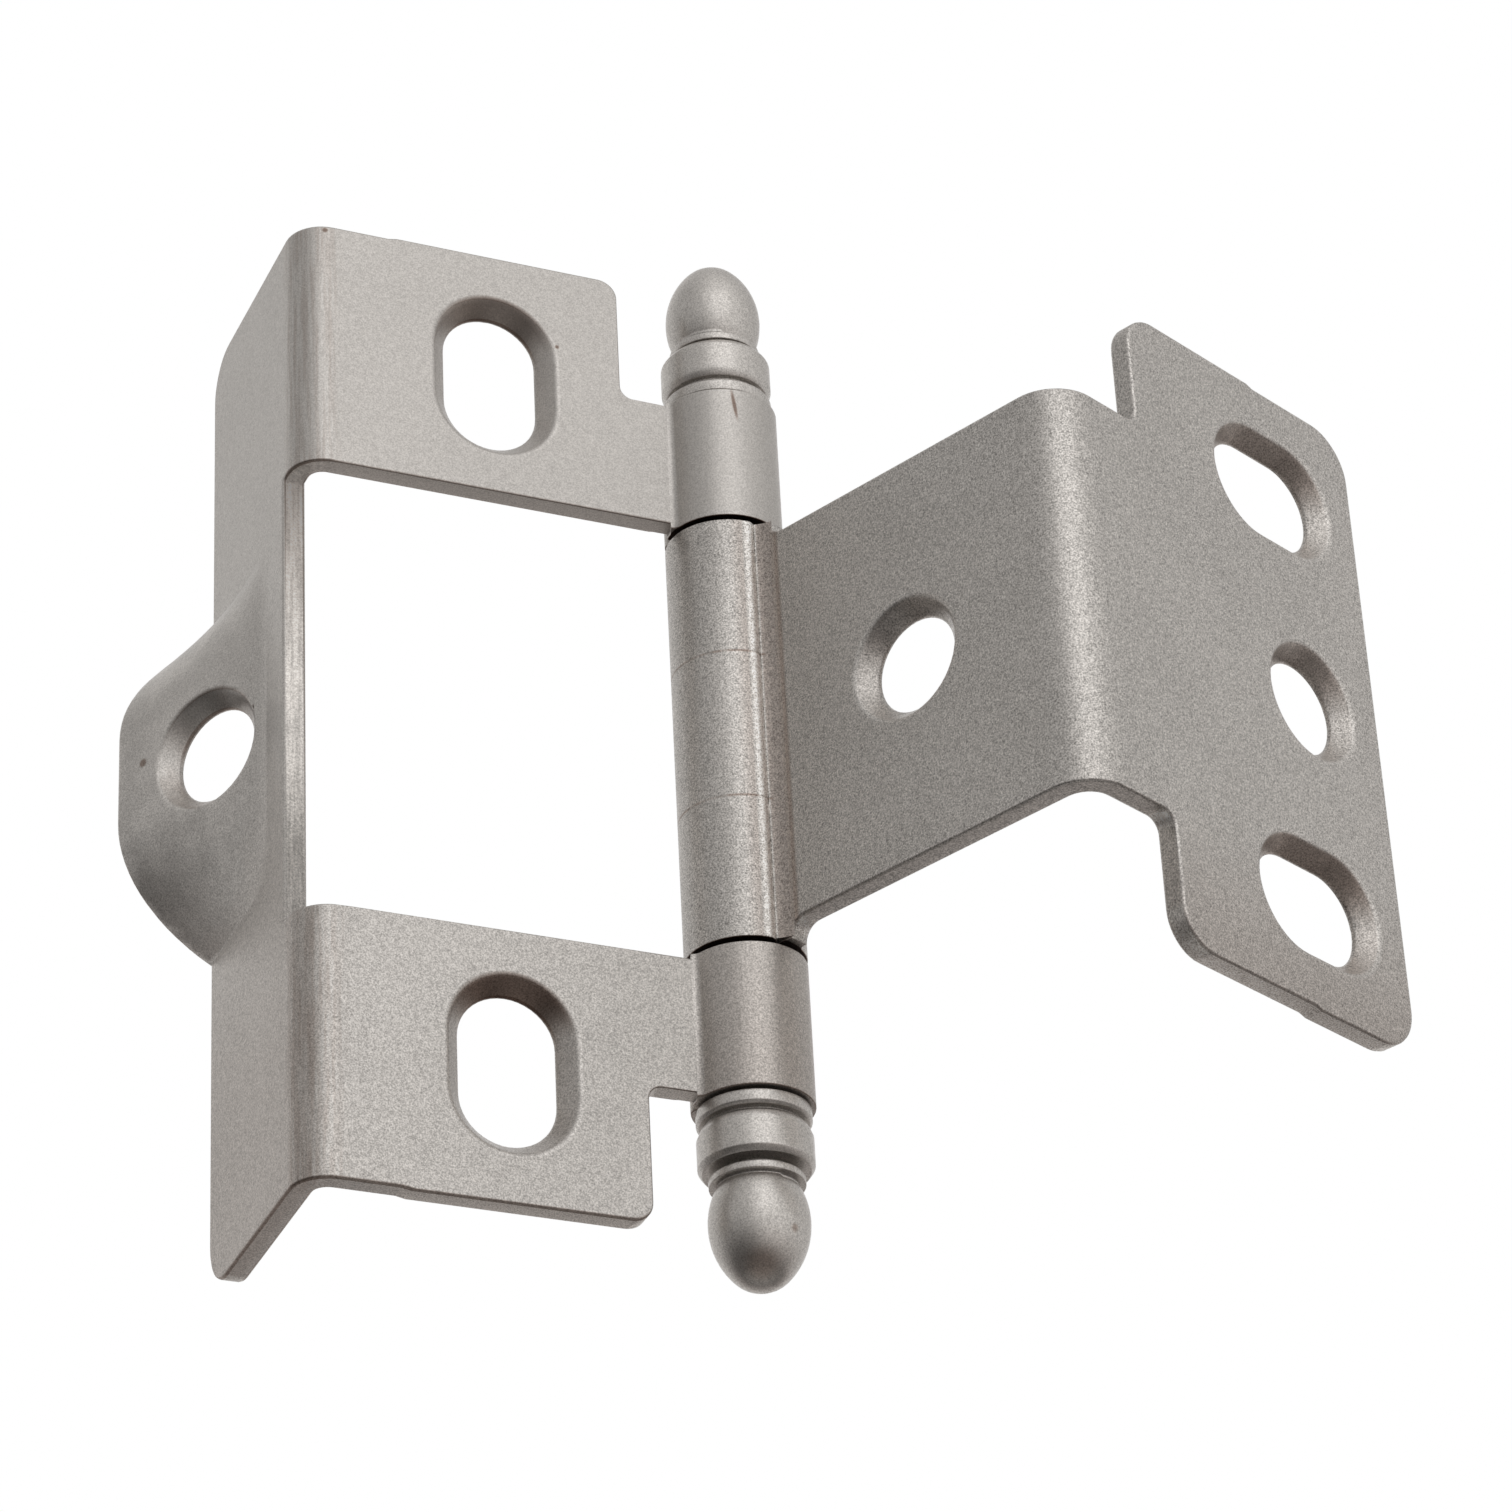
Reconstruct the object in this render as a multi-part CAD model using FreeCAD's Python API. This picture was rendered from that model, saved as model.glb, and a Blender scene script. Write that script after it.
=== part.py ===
import FreeCAD, Part
import math
import os

# Inset cabinet hinge with full wrap leaves and a finial pin, in millimetres.
# +Z runs along the pin. The frame leaf's plate lies along X and its screw side faces -Y.
# The origin is the middle of the frame leaf's two screw slots, on the face that meets the wood.

# Sheet and barrel
sheet = 1.25
barrel_radius = 3.175
pin_clearance = 0.05
seam_gap = 0.04
roll_end_radius = 0.6
edge_tolerance = 0.01
roll_mark_depth = 0.08
roll_mark_beyond_barrel = 0.7
roll_mark_ramp = 0.35
knuckle_gap = 0.27
crease_radius = 0.45
cut_ramp = 0.5
opening_angle = 113.8

# Frame leaf
frame_wood_offset = 0.43
frame_reach = 24.18
frame_half_height = 28.3
frame_flange_edge = 13.8
frame_bend_radius = 2.0
frame_corner_radius = 2.6
frame_cut_step = 0.1
frame_cut_step_from_axis = 18.8
window_half_height = 13.15
window_into_flange = 1.75
arm_overhang = 7.55
neck_length_from_axis = 5.95
neck_inner_radius = 0.7
neck_outer_radius = 1.1
knuckle_over_neck = 0.2

# Ear on the frame leaf's flange
ear_angle = 30.0
ear_root = 3.8
ear_bend_length = 1.6
ear_tip_growth = 1.2
ear_flat_half_height = 2.5
ear_blend_half_height = 10.05
ear_rise = 0.55
ear_bend_steps = 4
ear_sections = 6
ear_hole_from_root = 5.05
ear_hole_rise = 0.2

# Door leaf
door_wood_offset = 0.765
door_reach = 23.8
door_bend_radius = 2.6
door_plate_half_height = 11.6
middle_knuckle_half_height = 12.58
knuckle_flare_from_axis = 3.6
door_flange_half_height = 18.8
door_flange_edge = 24.15
door_flange_notch = 5.85
door_cut_shift = 0.15
door_cut_shift_from_axis = 16.2
notch_radius = 0.8
door_inner_corner_radius = 2.2
door_outer_corner_radius = 2.7

# Screw holes and slots
hole_radius = 2.6
countersink_radius = 3.47
countersink_angle = 82.0
frame_slot_from_axis = 13.1
frame_slot_height = 20.6
frame_slot_straight = 3.1
door_hole_from_axis = 12.4
door_slot_edge_centre = 18.65
door_slot_height = 12.5
door_slot_straight = 2.8

# Pin and finials
finial_gap = 0.15
pin_depth_in_finial = 2.8
pin_end_gap = 0.15
pin_chamfer = 0.25
disc_radius = 2.95
disc_thickness = 0.75
disc_bevel = 0.15
first_groove_radius = 2.6
first_groove_width = 0.3
collar_radius = 2.97
collar_length = 2.3
collar_edge_radius = 2.76
collar_edge_bevel = 0.5
collar_end_bevel = 0.3
second_groove_radius = 2.12
second_groove_width = 0.35
lip_radius = 2.45
lip_thickness = 0.4
ball_radius = 2.58
ball_half_length = 3.55
ball_cap_radius = 1.95
ball_centre_from_knuckle = 6.3

# Derived sizes
bore_radius = barrel_radius - sheet
pin_radius = bore_radius - pin_clearance
neck_half_height = frame_half_height - arm_overhang
frame_knuckle_end = neck_half_height + knuckle_over_neck
frame_knuckle_start = middle_knuckle_half_height + knuckle_gap
beyond = barrel_radius + frame_reach + door_reach
z_axis = FreeCAD.Vector(0, 0, 1)
y_axis = FreeCAD.Vector(0, 1, 0)
x_axis = FreeCAD.Vector(1, 0, 0)
across_plate = FreeCAD.Rotation(x_axis, 90)
across_flange = FreeCAD.Rotation(FreeCAD.Vector(1, 1, 1), 120)
origin = FreeCAD.Vector(0, 0, 0)
barrel_place = FreeCAD.Vector(frame_slot_from_axis, -frame_wood_offset, 0)


def flat(x, y):
    return FreeCAD.Vector(x, y, 0)


def prism(edges, low, high):
    """A flat outline of edges raised from low to high along Z."""
    wire = Part.Wire(Part.__sortEdges__(edges))
    solid = Part.Face(wire).extrude(z_axis * (high - low))
    solid.translate(z_axis * low)
    return solid


def polygon_prism(points, low, high):
    closed = points + [points[0]]
    edges = [Part.makeLine(closed[i], closed[i + 1]) for i in range(len(points))]
    return prism(edges, low, high)


def block(x_range, y_range, z_range):
    size = [high - low for low, high in (x_range, y_range, z_range)]
    corner = FreeCAD.Vector(x_range[0], y_range[0], z_range[0])
    return Part.makeBox(size[0], size[1], size[2], corner)


def rounded(shape, direction, spot, radius):
    """Rounds the straight edges along a direction that pass through a spot."""
    found = []
    for edge in shape.Edges:
        start = edge.Vertexes[0].Point
        run = edge.Vertexes[-1].Point - start
        if run.Length < edge_tolerance or run.cross(direction).Length > run.Length * edge_tolerance:
            continue
        away = spot - start
        if (away - direction * away.dot(direction)).Length < edge_tolerance:
            found.append(edge)
    return shape.makeFillet(radius, found)


def blanking_step(start, way, edge, drop, side, turn):
    """Trims a drop off the blank's upper or lower edge from a short ramp at start onwards."""
    points = [
        flat(start - way * cut_ramp / 2, side * edge),
        flat(start + way * cut_ramp / 2, side * (edge - drop)),
        flat(way * beyond, side * (edge - drop)),
        flat(way * beyond, side * beyond),
        flat(start - way * cut_ramp / 2, side * beyond),
    ]
    cutter = polygon_prism(points, -beyond, beyond)
    cutter.Placement = FreeCAD.Placement(origin, turn) * cutter.Placement
    return cutter


def folded_sheet(near, reach, screw_face, side, flange_edge, bend_radius, heights):
    """A plate along -X that turns into a flange towards side, its screw face outside the bend."""
    wood_face = screw_face + side * sheet
    centre = flat(bend_radius - reach, screw_face + side * bend_radius)
    diagonal = flat(-math.sqrt(0.5), -side * math.sqrt(0.5))
    inside = bend_radius - sheet
    corners = [
        flat(-near, screw_face),
        flat(centre.x, screw_face),
        flat(-reach, centre.y),
        flat(-reach, side * flange_edge),
        flat(sheet - reach, side * flange_edge),
        flat(sheet - reach, centre.y),
        flat(centre.x, wood_face),
        flat(-near, wood_face),
    ]
    edges = [
        Part.makeLine(corners[0], corners[1]),
        Part.Arc(corners[1], centre + diagonal * bend_radius, corners[2]).toShape(),
        Part.makeLine(corners[2], corners[3]),
        Part.makeLine(corners[3], corners[4]),
        Part.makeLine(corners[4], corners[5]),
        Part.Arc(corners[5], centre + diagonal * inside, corners[6]).toShape(),
        Part.makeLine(corners[6], corners[7]),
        Part.makeLine(corners[7], corners[0]),
    ]
    return prism(edges, heights[0], heights[1])


def knuckle(outer_face, low, high):
    """A length of barrel rolled from the plate face at outer_face, its free end over the other face."""
    return Part.makeCylinder(barrel_radius, high - low, z_axis * low).fuse(crease(outer_face, low, high))


def crease(outer_face, low, high):
    """The rounded inside corner where the plate's outer face runs into the barrel."""
    depth = crease_radius - outer_face
    run = math.sqrt((barrel_radius + crease_radius) ** 2 - depth ** 2)
    centre = flat(-run, -depth)
    on_barrel = centre * (barrel_radius / centre.Length)
    on_plate = flat(-run, outer_face)
    towards = (on_barrel + on_plate) * 0.5 - centre
    middle = centre + towards * (crease_radius / towards.Length)
    inside = flat(-barrel_radius, outer_face + sheet / 2)
    edges = [
        Part.Arc(on_plate, middle, on_barrel).toShape(),
        Part.makeLine(on_barrel, inside),
        Part.makeLine(inside, on_plate),
    ]
    return prism(edges, low, high)


def marked(leaf, inner_face):
    """The leaf with the shallow mark that the roll's free end presses into the plate."""
    far = barrel_radius + roll_mark_beyond_barrel
    points = [
        flat(0, inner_face - roll_mark_depth),
        flat(-far, inner_face - roll_mark_depth),
        flat(-far - roll_mark_ramp, inner_face),
        flat(0, inner_face),
    ]
    return leaf.cut(polygon_prism(points, -beyond, beyond))


def opened(leaf, inner_face):
    """The leaf with its bore, and its roll's free end cut clear of the marked plate and rounded."""
    mark = inner_face - roll_mark_depth
    end_face = mark + seam_gap
    gap = block((-barrel_radius, -bore_radius / 2), (mark, end_face), (-beyond, beyond))
    bore = Part.makeCylinder(bore_radius, 2 * beyond, z_axis * -beyond)
    corner = flat(-math.sqrt(barrel_radius ** 2 - end_face ** 2), end_face)
    return rounded(leaf.cut([bore, gap]), z_axis, corner, roll_end_radius)


def stadium(radius, straight, height):
    half = straight / 2
    ends = [FreeCAD.Vector(x, y, height) for x, y in
            ((-half, -radius), (half, -radius), (half, radius), (-half, radius))]
    return Part.Wire([
        Part.makeLine(ends[0], ends[1]),
        Part.Arc(ends[1], FreeCAD.Vector(half + radius, 0, height), ends[2]).toShape(),
        Part.makeLine(ends[2], ends[3]),
        Part.Arc(ends[3], FreeCAD.Vector(-half - radius, 0, height), ends[0]).toShape(),
    ])


def screw_cut(straight, place, normal, along):
    """A countersunk screw hole, or a slot if straight is above nothing, sunk from place against normal."""
    slope = math.tan(math.radians(countersink_angle / 2))
    depth = (countersink_radius - hole_radius) / slope
    above = sheet / 2
    mouth = countersink_radius + above * slope
    if straight > 0:
        through = Part.Face(stadium(hole_radius, straight, -2 * sheet)).extrude(z_axis * 3 * sheet)
        wires = [stadium(hole_radius, straight, -depth), stadium(mouth, straight, above)]
        sink = Part.makeLoft(wires, True, True)
    else:
        through = Part.makeCylinder(hole_radius, 3 * sheet, z_axis * (-2 * sheet))
        sink = Part.makeCone(hole_radius, mouth, depth + above, z_axis * -depth)
    cutter = through.fuse(sink)
    turn = FreeCAD.Rotation(along, normal.cross(along), normal, "ZXY")
    cutter.Placement = FreeCAD.Placement(place, turn)
    return cutter


def ear_turn(height):
    """How far the ear is bent out of the flange at a height from its middle, in radians."""
    share = (ear_blend_half_height - abs(height)) / (ear_blend_half_height - ear_flat_half_height)
    share = min(1.0, max(0.0, share))
    return math.radians(ear_angle) * share * (2 - share)


def ear_length(height):
    """The ear's length along its face: the flange's own width, and more towards the middle."""
    share = ear_turn(height) / math.radians(ear_angle)
    return frame_flange_edge - ear_root + ear_tip_growth * share


def ear_outline(height):
    """The ear's cut at a height from its middle: out along its screw face, back along its wood face."""
    turn = ear_turn(height)
    step = ear_bend_length / ear_bend_steps
    spot = FreeCAD.Vector(-frame_reach, ear_root, ear_rise + height)
    screw_side = [spot]
    wood_side = [spot + x_axis * sheet]
    for number in range(1, ear_bend_steps + 1):
        angle = turn * (number - 0.5) / ear_bend_steps
        spot = spot + FreeCAD.Vector(-math.sin(angle), math.cos(angle), 0) * step
        mitre = turn * number / ear_bend_steps
        screw_side.append(spot)
        wood_side.append(spot + FreeCAD.Vector(math.cos(mitre), math.sin(mitre), 0) * sheet)
    rest = ear_length(height) - ear_bend_length
    tip = spot + FreeCAD.Vector(-math.sin(turn), math.cos(turn), 0) * rest
    screw_side.append(tip)
    wood_side.append(tip + FreeCAD.Vector(math.cos(turn), math.sin(turn), 0) * sheet)
    points = screw_side + wood_side[::-1]
    return Part.makePolygon(points + [points[0]])


def frame_ear():
    middle_ends = [ear_outline(-ear_flat_half_height), ear_outline(ear_flat_half_height)]
    flat_middle = Part.makeLoft(middle_ends, True, True)
    rise = (ear_blend_half_height - ear_flat_half_height) / (ear_sections - 1)
    heights = [ear_flat_half_height + rise * number for number in range(ear_sections)]
    upper = Part.makeLoft([ear_outline(height) for height in heights], True, False)
    lower = Part.makeLoft([ear_outline(-height) for height in heights], True, False)
    ear = flat_middle.fuse([upper, lower])
    turn = math.radians(ear_angle)
    out = FreeCAD.Vector(-math.sin(turn), math.cos(turn), 0)
    normal = FreeCAD.Vector(-math.cos(turn), -math.sin(turn), 0)
    bend_middle = FreeCAD.Vector(-frame_reach, ear_root + ear_bend_length / 2, ear_hole_rise)
    centre = bend_middle + out * (ear_hole_from_root - ear_bend_length / 2)
    return ear.cut(screw_cut(0, centre, normal, z_axis))


def frame_leaf():
    screw_face = frame_wood_offset - sheet
    leaf = folded_sheet(bore_radius, frame_reach, screw_face, 1, frame_flange_edge, frame_bend_radius,
                        (-frame_half_height, frame_half_height))
    window_heights = (-window_half_height, window_half_height)
    window = block((-beyond, beyond), (-beyond, window_into_flange), window_heights)
    ear_heights = (ear_rise - ear_blend_half_height, ear_rise + ear_blend_half_height)
    ear_room = block((-beyond, 0), (ear_root, beyond), ear_heights)
    leaf = leaf.cut([window, ear_room])
    for side in (1, -1):
        low, high = sorted((side * neck_half_height, side * beyond))
        step = block((-neck_length_from_axis, beyond), (-beyond, beyond), (low, high))
        corner = FreeCAD.Vector(-neck_length_from_axis, 0, side * neck_half_height)
        leaf = leaf.cut(rounded(step, y_axis, corner, neck_inner_radius))
        corner = FreeCAD.Vector(-neck_length_from_axis, 0, side * frame_half_height)
        leaf = rounded(leaf, y_axis, corner, neck_outer_radius)
        trim = blanking_step(-frame_cut_step_from_axis, -1, frame_half_height, frame_cut_step, side,
                             across_plate)
        leaf = leaf.cut(trim)
        corner = FreeCAD.Vector(0, frame_flange_edge, side * (frame_half_height - frame_cut_step))
        leaf = rounded(leaf, x_axis, corner, frame_corner_radius)
    knuckles = [
        knuckle(screw_face, frame_knuckle_start, frame_knuckle_end),
        knuckle(screw_face, -frame_knuckle_end, -frame_knuckle_start),
    ]
    leaf = opened(marked(leaf, frame_wood_offset).fuse(knuckles), frame_wood_offset)
    for side in (1, -1):
        place = FreeCAD.Vector(-frame_slot_from_axis, screw_face, side * frame_slot_height)
        leaf = leaf.cut(screw_cut(frame_slot_straight, place, -y_axis, z_axis))
    return leaf.fuse(frame_ear()).removeSplitter()


def door_leaf():
    screw_face = sheet - door_wood_offset
    lowest = door_flange_half_height + door_cut_shift
    leaf = folded_sheet(bore_radius, door_reach, screw_face, -1, door_flange_edge, door_bend_radius,
                        (-lowest, door_flange_half_height))
    for way, edge, side in ((-1, door_flange_half_height, 1), (1, lowest, -1)):
        trim = blanking_step(-door_cut_shift_from_axis, way, edge, door_cut_shift, side, across_flange)
        leaf = leaf.cut(trim)
    for side in (1, -1):
        low, high = sorted((side * middle_knuckle_half_height, side * beyond))
        leaf = leaf.cut(block((-knuckle_flare_from_axis, beyond), (-beyond, beyond), (low, high)))
        low, high = sorted((side * door_plate_half_height, side * beyond))
        step = block((-beyond, -knuckle_flare_from_axis), (-door_flange_notch, beyond), (low, high))
        flare = FreeCAD.Vector(-knuckle_flare_from_axis, 0, side * door_plate_half_height)
        step = rounded(step, y_axis, flare, middle_knuckle_half_height - door_plate_half_height)
        notch = FreeCAD.Vector(0, -door_flange_notch, side * door_plate_half_height)
        step = rounded(step, x_axis, notch, notch_radius)
        leaf = leaf.cut(step)
        corner = FreeCAD.Vector(0, -door_flange_notch, side * door_flange_half_height)
        leaf = rounded(leaf, x_axis, corner, door_inner_corner_radius)
        corner = FreeCAD.Vector(0, -door_flange_edge, side * door_flange_half_height - door_cut_shift)
        leaf = rounded(leaf, x_axis, corner, door_outer_corner_radius)
    roll = knuckle(-door_wood_offset, -middle_knuckle_half_height, middle_knuckle_half_height)
    leaf = opened(marked(leaf, screw_face).fuse(roll), screw_face)
    place = FreeCAD.Vector(-door_hole_from_axis, screw_face, 0)
    cuts = [screw_cut(0, place, y_axis, z_axis)]
    place = FreeCAD.Vector(-door_reach, -door_slot_edge_centre, 0)
    cuts.append(screw_cut(0, place, -x_axis, y_axis))
    for side in (1, -1):
        across = door_slot_straight / 2 - door_slot_edge_centre
        place = FreeCAD.Vector(-door_reach, across, side * door_slot_height)
        cuts.append(screw_cut(door_slot_straight, place, -x_axis, y_axis))
    leaf = leaf.cut(cuts).removeSplitter()
    leaf.rotate(origin, z_axis, opening_angle)
    return leaf


def finial():
    """The upper finial, turned about Z: disc, groove, collar, groove, lip and ball."""
    start = frame_knuckle_end + finial_gap
    groove_start = start + disc_thickness
    collar_start = groove_start + first_groove_width
    collar_end = collar_start + collar_length
    lip_start = collar_end + second_groove_width
    lip_end = lip_start + lip_thickness
    ball_centre = frame_knuckle_end + ball_centre_from_knuckle
    outline = [
        (0, start),
        (disc_radius, start),
        (disc_radius, groove_start - disc_bevel),
        (disc_radius - disc_bevel, groove_start),
        (first_groove_radius, groove_start),
        (first_groove_radius, collar_start),
        (collar_edge_radius, collar_start),
        (collar_radius, collar_start + collar_edge_bevel),
        (collar_radius, collar_end - collar_end_bevel),
        (collar_edge_radius, collar_end),
        (second_groove_radius, collar_end),
        (second_groove_radius, lip_start),
        (lip_radius, lip_start),
        (lip_radius, lip_end),
    ]
    points = [FreeCAD.Vector(radius, 0, height) for radius, height in outline]
    edges = [Part.makeLine(points[i], points[i + 1]) for i in range(len(points) - 1)]
    rest = ball_half_length - ball_cap_radius
    narrowing = ball_radius - ball_cap_radius
    side_radius = (ball_radius ** 2 + rest ** 2 - ball_cap_radius ** 2) / (2 * narrowing)
    side_centre = FreeCAD.Vector(ball_radius - side_radius, 0, ball_centre)
    cap_centre = z_axis * (ball_centre + rest)
    joint = side_centre + (cap_centre - side_centre).normalize() * side_radius
    widest = FreeCAD.Vector(ball_radius, 0, ball_centre)
    drop = ball_centre - lip_end
    neck = FreeCAD.Vector(side_centre.x + math.sqrt(side_radius ** 2 - drop ** 2), 0, lip_end)
    top = z_axis * (ball_centre + ball_half_length)
    between = (joint - cap_centre + z_axis * ball_cap_radius).normalize()
    edges += [
        Part.makeLine(points[-1], neck),
        Part.Arc(neck, widest, joint).toShape(),
        Part.Arc(joint, cap_centre + between * ball_cap_radius, top).toShape(),
        Part.makeLine(top, points[0]),
    ]
    turned = Part.Face(Part.Wire(Part.__sortEdges__(edges))).revolve(origin, z_axis, 360)
    bore = Part.makeCylinder(pin_radius, pin_depth_in_finial, z_axis * start)
    return turned.cut(bore)


def hinge_pin():
    half = frame_knuckle_end + finial_gap + pin_depth_in_finial - pin_end_gap
    outline = [
        (0, -half),
        (pin_radius - pin_chamfer, -half),
        (pin_radius, pin_chamfer - half),
        (pin_radius, half - pin_chamfer),
        (pin_radius - pin_chamfer, half),
        (0, half),
    ]
    points = [FreeCAD.Vector(radius, 0, height) for radius, height in outline]
    face = Part.Face(Part.makePolygon(points + [points[0]]))
    return face.revolve(origin, z_axis, 360)


upper_finial = finial()
lower_finial = upper_finial.copy()
lower_finial.rotate(origin, x_axis, 180)
nodes = {
    "frame_leaf": frame_leaf(),
    "door_leaf": door_leaf(),
    "hinge_pin": hinge_pin(),
    "upper_finial": upper_finial,
    "lower_finial": lower_finial,
}
os.makedirs("parts", exist_ok=True)
for name, shape in nodes.items():
    placed = shape.copy()
    placed.translate(barrel_place)
    solids = placed.Solids
    one_piece = solids[0] if len(solids) == 1 else placed
    one_piece.exportStep("parts/" + name + ".step")
    print(name, len(solids), round(one_piece.Volume, 1), one_piece.isValid())
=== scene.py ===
"""Looks of a full wrap inset cabinet hinge in satin nickel, seen from below as in the photograph."""
import itertools
import math

import bmesh
import bpy
from mathutils import Euler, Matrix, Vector
from mathutils.bvhtree import BVHTree


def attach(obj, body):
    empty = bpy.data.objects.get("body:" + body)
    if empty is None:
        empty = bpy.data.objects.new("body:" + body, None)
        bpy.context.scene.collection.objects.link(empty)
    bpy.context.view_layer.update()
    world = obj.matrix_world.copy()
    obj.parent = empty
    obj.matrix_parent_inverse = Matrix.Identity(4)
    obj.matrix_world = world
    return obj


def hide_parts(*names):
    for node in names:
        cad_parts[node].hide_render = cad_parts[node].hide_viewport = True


MM = 0.001

# Camera, solved from the edges in the photograph
CAMERA_PLACE = Vector((-83.229, -218.524, -140.816)) * MM
CAMERA_TURN = Euler([math.radians(angle) for angle in (120.5647, 2.6931, -22.5039)])
CAMERA_LENS = 126.12
CAMERA_SENSOR = 36.0
CAMERA_NEAREST = 10 * MM

# Sheet and its edges
SHEET = 1.25 * MM
BARREL_RADIUS = 3.175 * MM
BARREL_PLACE = (13.1 * MM, -0.43 * MM)
LEAF_EDGE = 0.17 * MM
FINIAL_EDGE = 0.10 * MM
PIN_EDGE = 0.05 * MM
EDGE_STEPS = 2
SHARP = math.radians(24.0)
EAR_TURN = math.radians(30.0)
DOOR_TURN = math.radians(113.8)
SHEARED_DEPTH = 1.6 * SHEET
SHEARED_FINISH = 1
ROUNDED_EDGE_FINISH = 2
FINISHES_EACH = 3

# Care taken while the edges are rounded
WELD = 0.002 * MM
FLAT_JOIN = math.radians(0.4)
SHORTEST_EDGE = 0.048 * MM
PROBE = 0.01 * MM
KNUCKLE_END_SHARE = 0.4
ROOM_PER_ROUND = 2.6
NEARLY_IN_LINE = 0.85
EVENING_ROUNDS = 12
RUNS_ON = math.radians(45.0)
STEEPEST_JUMP = 0.25
FACE_WEIGHT = 100

# Metals
NICKEL = (0.60, 0.575, 0.55)
SHEARED_NICKEL = (0.56, 0.535, 0.51)
TURNED_NICKEL = (0.648, 0.621, 0.594)
PIN_STEEL = (0.32, 0.30, 0.29)
NICKEL_ROUGHNESS = 0.40
SHEARED_ROUGHNESS = 0.46
TURNED_ROUGHNESS = 0.36
ROUGHNESS_SWING = 0.05
# Darker places, in real marks and painted shade, are tinted warmer
WARMTH_OF_DARK = (0.0, 0.25, 0.38)

# Sandy grain: its size and height, the shares and scales of its noises, and how strongly it speckles
GRAIN_SIZE = 0.085 * MM
GRAIN_DEPTH = 0.0038 * MM
FINE_SHARE = 0.80
FINE_DETAIL = 2.0
FINE_ROUGHNESS = 0.6
COARSE_SHARE = 0.12
COARSE_SCALE = 0.31
CLOUD_SHARE = 0.08
CLOUD_SCALE = 110.0
CLOUD_DETAIL = 2.0
TONE_ENDS = (0.1, 0.9)
ROUGHNESS_TONES = (0.3, 0.7)
FRAME_SPECKLES = (0.62, 0.31)
FRAME_SPECKLE_HEIGHTS = (-18.0, 18.0)
DOOR_SPECKLE = 0.899
FINIAL_SPECKLE = 0.496
PIN_SPECKLE = 0.24

# Edges: painted shade and painted light on those that look down and on the others, where 1 is the plain
# finish, as in all shades
FRAME_ROUNDED_PAINTED_SHADES = (0.64, 1.06)
DOOR_ROUNDED_PAINTED_SHADES = (1.0, 1.06)
FRAME_CUT_PAINTED_SHADES = (1.33, 1.0)
DOOR_CUT_PAINTED_SHADES = (1.68, 1.0)
LOOKS_DOWN = (-0.75, 0.1)

# Painted shade in the countersinks, darker towards their tops, with places in millimetres, as in every mark
CONE_RIM = (3.30, 3.45)
CONE_TOP = (0.3, 2.6)
CONE_LOW_SHADE = 0.96
FRAME_SLOT_HEIGHT = 20.6
FRAME_SLOT_STRAIGHT = 3.1
FRAME_SLOT_SHADES = (0.72, 0.42)
EAR_ACROSS = (-math.sin(EAR_TURN), math.cos(EAR_TURN), 0.0)
EAR_HOLE = (-12.23, 8.41, 0.2)
EAR_HOLE_SHADES = (0.90, 0.86)
DOOR_WAY = (-math.cos(DOOR_TURN), -math.sin(DOOR_TURN), 0.0)
DOOR_SCREW_WAY = (-math.sin(DOOR_TURN), math.cos(DOOR_TURN), 0.0)
DOOR_HOLE_FROM_AXIS = 12.4
DOOR_HOLE_SHADE = 0.93
DOOR_FLANGE_START = (21.5, 22.0)
OUT_OF_REACH = 10.0
DOOR_ROUND_MIDDLE = -18.65
DOOR_ROUND_SHADE = 0.8
DOOR_SLOT_HEIGHT = 12.5
DOOR_SLOT_STRAIGHT = 2.8
DOOR_SLOT_MIDDLE = DOOR_ROUND_MIDDLE + DOOR_SLOT_STRAIGHT / 2
DOOR_SLOT_SHADES = (0.74, 0.66)

# Painted shade in the gaps between the knuckles
KNUCKLE_GAP = ((12.53, 12.58), (12.85, 12.90))
BARREL_SKIN = (3.18, 3.24)
GAP_PAINTED_SHADE = 0.2

# Marks on the frame leaf, where a speck has its place and its size, then painted light on its ear and
# painted shade off its plate
SCRATCH = ((12.66, -3.57, 20.55), (12.82, -3.59, 19.35))
SCRATCH_SLIMNESS = 0.12
SCRATCH_EDGE = (0.05, 0.15)
SCRATCH_SHADE = 0.42
FRAME_SPECKS = (
    (3.548, -1.25, 23.192, 0.16),
    (-15.377, 11.632, 1.019, 0.34),
    (-9.511, -1.198, 27.895, 0.2),
)
SPECK_CORE = 0.4
SPECK_SHADE = 0.45
STREAK_DETAIL = 2.0
STREAK_ENDS = (0.3, 0.7)
BEND_STRETCH = (5.0, 5.0, 0.25)
BEND_SHADES = (0.84, 1.04)
BEND_ON_PLATE = (-9.6, -8.4)
BEND_ON_FLANGE = (0.2, 1.4)
WINDOW_CUT_STRETCH = (7.0, 7.0, 0.35)
WINDOW_CUT_SHADES = (1.08, 1.52)
WINDOW_CUT_ACROSS = ((-11.3, -11.15), (-9.6, -9.4))
WINDOW_CUT_DEPTH = (2.0, 2.3)
WINDOW_CUT_TOP = (12.9, 13.3)
# Painted light on the ear, lighter in mottled patches
EAR_SIDE = (-12.6, -11.2)
EAR_LIGHT_SCALE = 0.45
EAR_LIGHT_DETAIL = 2.0
EAR_LIGHT_ENDS = (0.38, 0.66)
EAR_LIGHT_SHADES = (1.03, 1.17)
# Painted shade off the plate, on the flange and knuckles, darker towards the bottom
PLATE_MIDDLE = -0.1
PLATE_HALF_LENGTH = (9.7, 10.4)
LOW_END_HEIGHTS = (-23.0, 0.0)
LOW_END_PAINTED_SHADE = 0.87
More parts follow.
